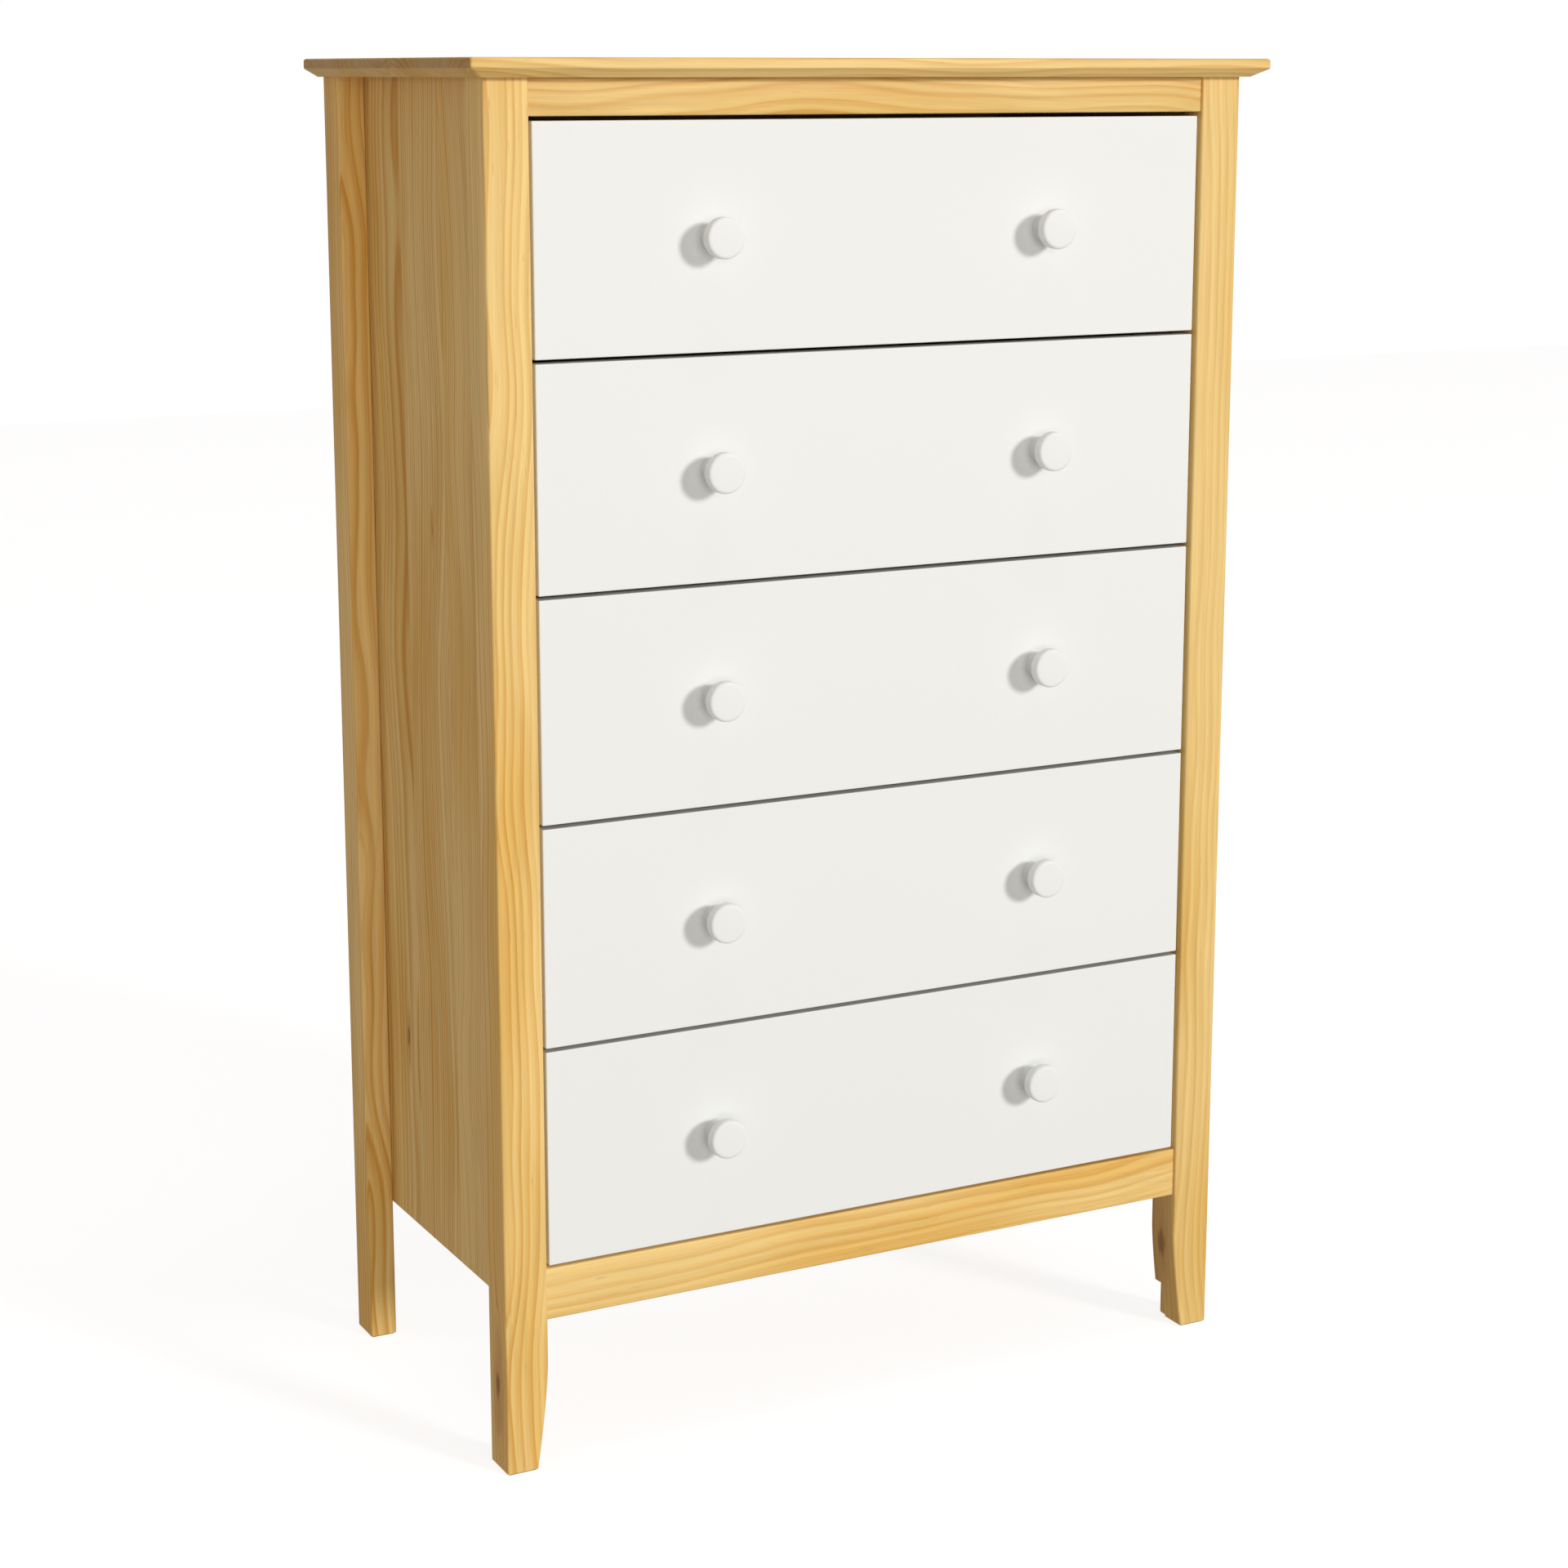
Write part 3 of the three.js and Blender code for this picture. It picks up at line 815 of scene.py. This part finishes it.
def makeBackPanel():
    low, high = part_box("back_panel")
    rear = high.y - backPanel["inset"]
    mesh = bmesh.new()
    rings = []
    for depth, inset in [(0.0, 0.0)] + easedLevels(rear - low.y, backPanel["ease"], 2):
        left, right, floor, top = low.x + inset, high.x - inset, low.z + inset, high.z - inset
        section = ((left, floor), (left, top), (right, top), (right, floor))
        rings.append([(x, low.y + depth, z) for x, z in section])
    loftRings(mesh, rings)
    return finishPiece("backPanel", mesh, backHardboard, "case", ["back_panel"])


# How each board is cut, with its knots as (centre, radius, how dark)
legBoards = {
    "front_leg_left": dict(
        heart=(0.40, 0.235, 0.2), ringWidth=0.0060, wander=0.036, contrast=0.78, tone=0.57,
        knots=(((-0.357, -0.1540, 0.074), 0.0048, 0.8),)),
    "front_leg_right": dict(
        heart=(-0.30, 0.215, 2.2), ringWidth=0.0062, wander=0.03, contrast=0.6, tone=0.42,
        knots=(((0.322, -0.1500, 0.078), 0.0050, 0.6),)),
    "rear_leg_left": dict(
        heart=(0.37, -0.12, 4.2), ringWidth=0.0050, wander=0.04, contrast=1.05, tone=0.53),
    "rear_leg_right": dict(
        heart=(-0.39, -0.13, 6.2), ringWidth=0.0050, wander=0.04, contrast=0.9),
}
panelBoards = {
    "left": dict(heart=(0.35, 0.22, 0.0), knots=(
        ((-0.333, 0.0200, 0.783), 0.0022, 0.35), ((-0.333, 0.1070, 0.308), 0.0030, 0.6))),
    "right": dict(heart=(-0.35, 0.22, 2.0), knots=(
        ((0.333, -0.0500, 0.470), 0.0036, 0.7), ((0.333, 0.0620, 0.960), 0.0024, 0.5))),
}
legPine = {name: pineFinish(camelName(name) + "Pine", "Z", **board) for name, board in legBoards.items()}
makeTop()
for word, side in sides.items():
    makeLeg(f"front_leg_{word}", side, legs["width"] - legs["footWidth"], legPine[f"front_leg_{word}"])
    makeLeg(f"rear_leg_{word}", side, 0.0, legPine[f"rear_leg_{word}"])
    panelPine = pineFinish(
        f"sidePanel{word.capitalize()}Pine", "Z", ringWidth=0.0048, wander=0.05, contrast=1.0,
        **panelBoards[word])
    makeSidePanel(word, panelPine)
railPine = pineFinish(
    "topRailPine", "X", heart=(1.095, 0.22, 1.0), ringWidth=0.0068, wander=0.05, contrast=0.75, tone=0.25)
lowRailPine = pineFinish(
    "bottomRailPine", "X", heart=(0.205, 0.21, 5.0), ringWidth=0.0086, wander=0.045, contrast=0.62,
    tone=0.66)
makeFrontRail("top_front_rail", "topFrontRail", railPine)
makeFrontRail("bottom_front_rail", "bottomFrontRail", lowRailPine)
makeBackPanel()
rearRailPine = pineFinish(
    "rearRailPine", "X", heart=(0.30, -0.10, 2.0), wander=0.05, look=rawPineLook, rings=rawGrain)
for node in ("top_rear_rail", "bottom_rear_rail"):
    dressNode(node, rearRailPine)
for number in drawerNumbers:
    for word in sides:
        dressNode(f"runner_{number}_{word}", runnerBeech)
print("case built")


def startShapes(name, inputs):
    tree = bpy.data.node_groups.new(name, "GeometryNodeTree")
    tree.interface.new_socket("Geometry", in_out="INPUT", socket_type="NodeSocketGeometry")
    for label, kind in inputs:
        tree.interface.new_socket(label, in_out="INPUT", socket_type=kind)
    tree.interface.new_socket("Geometry", in_out="OUTPUT", socket_type="NodeSocketGeometry")
    return tree, tree.nodes.new("NodeGroupInput").outputs


def seatShapes(tree, given, points, shape, turned=True):
    # Stands a copy of the shape on each point, with its Z along the point's facing
    facing = outOf(tree, "GeometryNodeInputNamedAttribute", {"Name": "facing"}, data_type="FLOAT_VECTOR")
    turn = outOf(tree, "FunctionNodeAlignRotationToVector", {"Vector": facing}, axis="Z")
    if turned:
        limits = {2: 0.0, 3: math.pi, "Seed": given["Seed"]}
        angle = addNode(tree, "FunctionNodeRandomValue", limits, data_type="FLOAT").outputs[1]
        spin = outOf(tree, "FunctionNodeAxisAngleToRotation", {"Axis": (0, 0, 1), "Angle": angle})
        turn = outOf(tree, "FunctionNodeRotateRotation", {0: turn, 1: spin}, rotation_space="LOCAL")
    copies = outOf(tree, "GeometryNodeInstanceOnPoints", {
        "Points": points, "Instance": shape, "Rotation": turn})
    whole = outOf(tree, "GeometryNodeRealizeInstances", {0: copies})
    finish = outOf(tree, "GeometryNodeSetMaterial", {"Geometry": whole, "Material": given["Material"]})
    addNode(tree, "NodeGroupOutput", {0: finish})


def growShapes(name, tree, points, edges, facing, sizes, body, replaced=(), angle=40):
    # Runs a tree on points or lines, and keeps what it grows as a plain mesh
    places = bpy.data.meshes.new(name + "Places")
    places.from_pydata(points, edges, [])
    layer = places.attributes.new("facing", "FLOAT_VECTOR", "POINT")
    layer.data.foreach_set("vector", [value for way in facing for value in way])
    piece = bpy.data.objects.new(name, places)
    scene.collection.objects.link(piece)
    modifier = piece.modifiers.new("shapes", "NODES")
    modifier.node_group = tree
    for item in tree.interface.items_tree:
        if item.in_out == "INPUT" and item.name in sizes:
            modifier[item.identifier] = sizes[item.name]
    graph = bpy.context.evaluated_depsgraph_get()
    data = bpy.data.meshes.new_from_object(piece.evaluated_get(graph), depsgraph=graph)
    piece.modifiers.clear()
    data.name = name
    piece.data = data
    data.polygons.foreach_set("use_smooth", [True] * len(data.polygons))
    data.set_sharp_from_angle(angle=math.radians(angle))
    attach(piece, body)
    if replaced:
        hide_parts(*replaced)
    return piece


knobs = {
    "radius": 0.017,
    "projection": 0.027,
    "segments": 72,
    # (along the axis, out from it) in shares of the projection and the radius, from the base to the face
    "profile": ((0.0, 0.671), (0.030, 0.665), (0.111, 0.606), (0.204, 0.535), (0.315, 0.506),
                (0.407, 0.553), (0.500, 0.718), (0.585, 0.894), (0.659, 0.988), (0.696, 1.0),
                (0.904, 1.0), (0.944, 0.988), (0.978, 0.947), (0.996, 0.882), (1.0, 0.812)),
}


def curveOf(tree, share, values):
    node = addNode(tree, "ShaderNodeFloatCurve", {"Value": share})
    points = node.mapping.curves[0].points
    last = len(values) - 1
    points[0].location = (0.0, values[0])
    points[1].location = (1.0, values[-1])
    for i in range(1, last):
        points.new(i / last, values[i])
    for point in points:
        point.handle_type = "VECTOR"
    node.mapping.update()
    return node.outputs[0]


def makeKnobTree():
    # A drum, swollen and lifted row by row to the turned profile
    tree, given = startShapes("turnedKnobs", [
        ("Knob Radius", "NodeSocketFloat"), ("Projection", "NodeSocketFloat"),
        ("Segments", "NodeSocketInt"), ("Material", "NodeSocketMaterial")])
    heights, widths = zip(*knobs["profile"])
    drum = outOf(tree, "GeometryNodeMeshCylinder", {
        "Vertices": given["Segments"], "Side Segments": len(heights) - 1, "Radius": 1.0, "Depth": 1.0},
        fill_type="NGON")
    place = outOf(tree, "GeometryNodeInputPosition")
    place = addNode(tree, "ShaderNodeSeparateXYZ", {0: place}).outputs
    row = calc(tree, "ADD", place[2], 0.5)
    lift = calc(tree, "MULTIPLY", curveOf(tree, row, heights), given["Projection"])
    swell = calc(tree, "MULTIPLY", curveOf(tree, row, widths), given["Knob Radius"])
    moved = outOf(tree, "ShaderNodeCombineXYZ", {
        0: calc(tree, "MULTIPLY", place[0], swell), 1: calc(tree, "MULTIPLY", place[1], swell), 2: lift})
    turned = outOf(tree, "GeometryNodeSetPosition", {"Geometry": drum, "Position": moved})
    seatShapes(tree, given, given["Geometry"], turned, turned=False)
    return tree


screws = {
    "domeHeight": 0.0005,  # how far a countersunk head stands proud
    "headRadius": 0.0040,
    "slotWidth": 0.0009,
    "slotDepth": 0.0004,
    "slotReach": 1.05,  # a slot's length in head radii
    "headSegments": 24,
    "headRings": 10,
    "seed": 7,
    "knobHeadRadius": 0.0042,
    "knobHeadHeight": 0.0022,
    "knobSlotDepth": 0.0012,
    "washerRadius": 0.0066,
    "washerHeight": 0.0009,
    "washerSegments": 28,
    "runnerPlaces": (-0.118, 0.012, 0.148),  # along the depth
    "boxPlaces": (0.040, 0.132),  # above a drawer front's lower edge
}


def makeScrewTree(name, washer):
    # A domed head with a cross cut in it, on a washer or let into the wood
    lengths = ("Head Radius", "Head Height", "Slot Width", "Slot Depth", "Washer Radius", "Washer Height")
    tree, given = startShapes(name, [(label, "NodeSocketFloat") for label in lengths] + [
        ("Seed", "NodeSocketInt"), ("Material", "NodeSocketMaterial")])
    ball = outOf(tree, "GeometryNodeMeshUVSphere", {
        "Segments": screws["headSegments"], "Rings": screws["headRings"], "Radius": 1.0})
    size = outOf(tree, "ShaderNodeCombineXYZ", {
        0: given["Head Radius"], 1: given["Head Radius"], 2: given["Head Height"]})
    head = outOf(tree, "GeometryNodeTransform", {"Geometry": ball, "Scale": size})
    narrow = given["Slot Width"]
    deep = calc(tree, "MULTIPLY", given["Slot Depth"], 2.0)
    wide = calc(tree, "MULTIPLY", given["Head Radius"], screws["slotReach"])
    top = outOf(tree, "ShaderNodeCombineXYZ", {2: given["Head Height"]})
    cut = addNode(tree, "GeometryNodeMeshBoolean", {"Mesh 1": head}, operation="DIFFERENCE")
    for across in ((wide, narrow), (narrow, wide)):
        blade = outOf(tree, "ShaderNodeCombineXYZ", {0: across[0], 1: across[1], 2: deep})
        blade = outOf(tree, "GeometryNodeMeshCube", {"Size": blade})
        blade = outOf(tree, "GeometryNodeTransform", {"Geometry": blade, "Translation": top})
        tree.links.new(blade, cut.inputs["Mesh 2"])
    shape = cut.outputs["Mesh"]
    if washer:
        thick = given["Washer Height"]
        ring = outOf(tree, "GeometryNodeMeshCylinder", {
            "Vertices": screws["washerSegments"], "Radius": given["Washer Radius"], "Depth": thick},
            fill_type="NGON")
        lift = outOf(tree, "ShaderNodeCombineXYZ", {2: calc(tree, "MULTIPLY", thick, 0.5)})
        ring = outOf(tree, "GeometryNodeTransform", {"Geometry": ring, "Translation": lift})
        seat = outOf(tree, "ShaderNodeCombineXYZ", {2: thick})
        raised = outOf(tree, "GeometryNodeTransform", {"Geometry": shape, "Translation": seat})
        both = addNode(tree, "GeometryNodeJoinGeometry")
        tree.links.new(ring, both.inputs[0])
        tree.links.new(raised, both.inputs[0])
        shape = both.outputs[0]
    seatShapes(tree, given, given["Geometry"], shape)
    return tree


def makeNailTree():
    # Flat nail heads along lines, each a little off its place
    lengths = ("Spacing", "Head Radius", "Head Height", "Stray")
    tree, given = startShapes("panelNails", [(label, "NodeSocketFloat") for label in lengths] + [
        ("Seed", "NodeSocketInt"), ("Material", "NodeSocketMaterial")])
    line = outOf(tree, "GeometryNodeMeshToCurve", {"Mesh": given["Geometry"]})
    points = outOf(tree, "GeometryNodeCurveToPoints", {
        "Curve": line, "Length": given["Spacing"]}, mode="LENGTH")
    least, most = calc(tree, "MULTIPLY", given["Stray"], -1.0), given["Stray"]
    stray = outOf(tree, "FunctionNodeRandomValue", {
        0: outOf(tree, "ShaderNodeCombineXYZ", {0: least, 2: least}),
        1: outOf(tree, "ShaderNodeCombineXYZ", {0: most, 2: most}),
        "Seed": given["Seed"]}, data_type="FLOAT_VECTOR")
    moved = outOf(tree, "GeometryNodeSetPosition", {"Geometry": points, "Offset": stray})
    face = calc(tree, "MULTIPLY", given["Head Radius"], backPanel["nailTaper"])
    head = outOf(tree, "GeometryNodeMeshCone", {
        "Vertices": backPanel["nailSides"], "Radius Top": face, "Radius Bottom": given["Head Radius"],
        "Depth": given["Head Height"]}, fill_type="NGON")
    seatShapes(tree, given, moved, head)
    return tree


knobTree = makeKnobTree()
countersunkTree = makeScrewTree("countersunkScrews", False)
washerTree = makeScrewTree("washerScrews", True)
nailTree = makeNailTree()

headSizes = {
    "Head Radius": screws["headRadius"], "Head Height": screws["domeHeight"],
    "Slot Width": screws["slotWidth"], "Slot Depth": screws["slotDepth"],
    "Seed": screws["seed"], "Material": platedSteel,
}
knobHeadSizes = dict(headSizes, **{
    "Head Radius": screws["knobHeadRadius"], "Head Height": screws["knobHeadHeight"],
    "Slot Depth": screws["knobSlotDepth"], "Washer Radius": screws["washerRadius"],
    "Washer Height": screws["washerHeight"],
})
knobSizes = {
    "Knob Radius": knobs["radius"], "Projection": knobs["projection"], "Segments": knobs["segments"],
    "Material": whitePaint,
}
nailSizes = {
    "Spacing": backPanel["nailSpacing"], "Head Radius": backPanel["nailRadius"],
    "Head Height": backPanel["nailHeight"], "Stray": backPanel["nailStray"],
    "Seed": backPanel["nailSeed"], "Material": platedSteel,
}


def driveRunnerScrews():
    points, facing = [], []
    for number in drawerNumbers:
        for word, side in sides.items():
            low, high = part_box(f"runner_{number}_{word}")
            for y in screws["runnerPlaces"]:
                points.append((high.x if side < 0 else low.x, y, (low.z + high.z) / 2))
                facing.append((-side, 0, 0))
    growShapes("runnerScrews", countersunkTree, points, [], facing, headSizes, "case")


def drivePanelNails():
    low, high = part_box("back_panel")
    edge = backPanel["nailEdge"]
    left, right, floor, top = low.x + edge, high.x - edge, low.z + edge * 2, high.z - edge * 2
    rear = high.y - backPanel["inset"]
    corners = [(left, rear, floor), (left, rear, top), (right, rear, top), (right, rear, floor)]
    lines = [(0, 1), (1, 2), (2, 3), (3, 0)]
    growShapes("panelNails", nailTree, corners, lines, [(0, 1, 0)] * 4, nailSizes, "case", angle=30)


drawerBoards = {
    "sideHeart": (0.33, 0.4),
    "sideStep": 0.02,  # from one drawer's sides to the next one's
    "sideWander": 0.04,
    "backHeart": (0.6, -0.2),
    "backWander": 0.05,
    "contrast": 0.8,
    "drift": 0.9,  # so that no two drawers are cut from the same wood
}


def dressDrawer(number):
    body = f"drawer_{number}"
    points, bolts = [], []
    for word in sides:
        low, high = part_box(f"{body}_knob_{word}")
        centre = (low + high) / 2
        points.append((centre.x, high.y, centre.z))
        bolts.append((centre.x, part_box(body + "_front")[1].y, centre.z))
    growShapes(
        f"drawer{number}Knobs", knobTree, points, [], [(0, -1, 0)] * 2, knobSizes, body,
        [f"{body}_knob_left", f"{body}_knob_right"], angle=60)
    growShapes(f"drawer{number}KnobScrews", washerTree, bolts, [], [(0, 1, 0)] * 2, knobHeadSizes, body)
    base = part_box(body + "_front")[0].z
    backLow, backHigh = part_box(body + "_back")
    points, facing = [], []
    for word, side in sides.items():
        low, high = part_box(f"{body}_side_{word}")
        for rise in screws["boxPlaces"]:
            points.append((low.x if side < 0 else high.x, (backLow.y + backHigh.y) / 2, base + rise))
            facing.append((side, 0, 0))
    growShapes(f"drawer{number}BoxScrews", countersunkTree, points, [], facing, headSizes, body)
    dressNode(body + "_front", frontPaint)
    dressNode(body + "_bottom", drawerPly)
    rawPine = {"contrast": drawerBoards["contrast"], "look": rawPineLook, "rings": rawGrain}
    drift = drawerBoards["drift"] * number
    across, outwards = drawerBoards["sideHeart"]
    for word, side in sides.items():
        heart = (across * -side + drawerBoards["sideStep"] * number, outwards + drift, drift)
        dressNode(f"{body}_side_{word}", pineFinish(
            f"{body}Side{word.capitalize()}Pine", "Y", heart, wander=drawerBoards["sideWander"], **rawPine))
    across, outwards = drawerBoards["backHeart"]
    dressNode(body + "_back", pineFinish(
        body + "BackPine", "X", (across + drift, outwards, drift), wander=drawerBoards["backWander"],
        **rawPine))


driveRunnerScrews()
drivePanelNails()
for number in drawerNumbers:
    dressDrawer(number)
print("drawers dressed, knobs, screws and nails in place")
